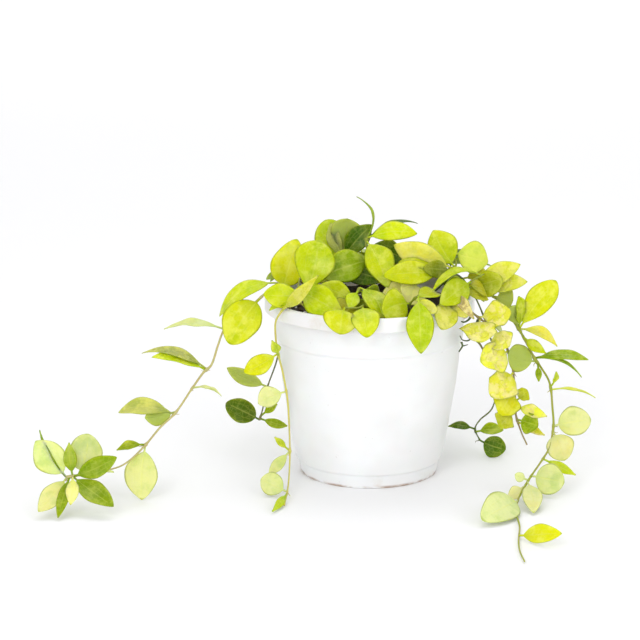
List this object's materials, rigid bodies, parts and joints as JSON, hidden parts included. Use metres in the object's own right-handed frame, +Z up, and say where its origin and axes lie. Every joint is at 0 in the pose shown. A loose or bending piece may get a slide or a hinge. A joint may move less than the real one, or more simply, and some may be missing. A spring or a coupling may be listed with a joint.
{
  "type": "potted trailing plant",
  "caption": "Trailing climber with round fleshy leaves on thin stems, crowding over the rim of a tapered round nursery pot and lying along the ground.",
  "frame": {"origin": "centre of the pot's base on the surface it stands on", "axes": "+Z up along the pot's axis, -Y towards the side that the picture sees, +X to the right in that view"},
  "size_m": [0.3348, 0.278, 0.1701],
  "materials": {
    "pot_plastic": "satin white, thin walled",
    "potting_mix": "dark crumbly mix with pale grit",
    "leafy_stem": "fleshy yellow-green leaves, half gloss, paler beneath"
  },
  "bodies": {
    "root": {"pot": "pot_plastic", "potting_mix": "potting_mix", "left_front_stem": "leafy_stem", "left_stem": "leafy_stem", "upper_left_stem": "leafy_stem", "middle_front_stem": "leafy_stem", "front_rim_stem": "leafy_stem", "front_right_stem": "leafy_stem", "top_stem": "leafy_stem", "right_stem": "leafy_stem", "right_front_stem": "leafy_stem", "right_trail": "leafy_stem", "right_hanging_stem": "leafy_stem", "right_back_stem": "leafy_stem", "left_trail": "leafy_stem", "front_left_hanging_stem": "leafy_stem", "back_left_stem": "leafy_stem", "back_stem_left": "leafy_stem", "back_stem_middle": "leafy_stem", "back_stem_right": "leafy_stem", "back_stem_low": "leafy_stem"}
  },
  "joints": []
}
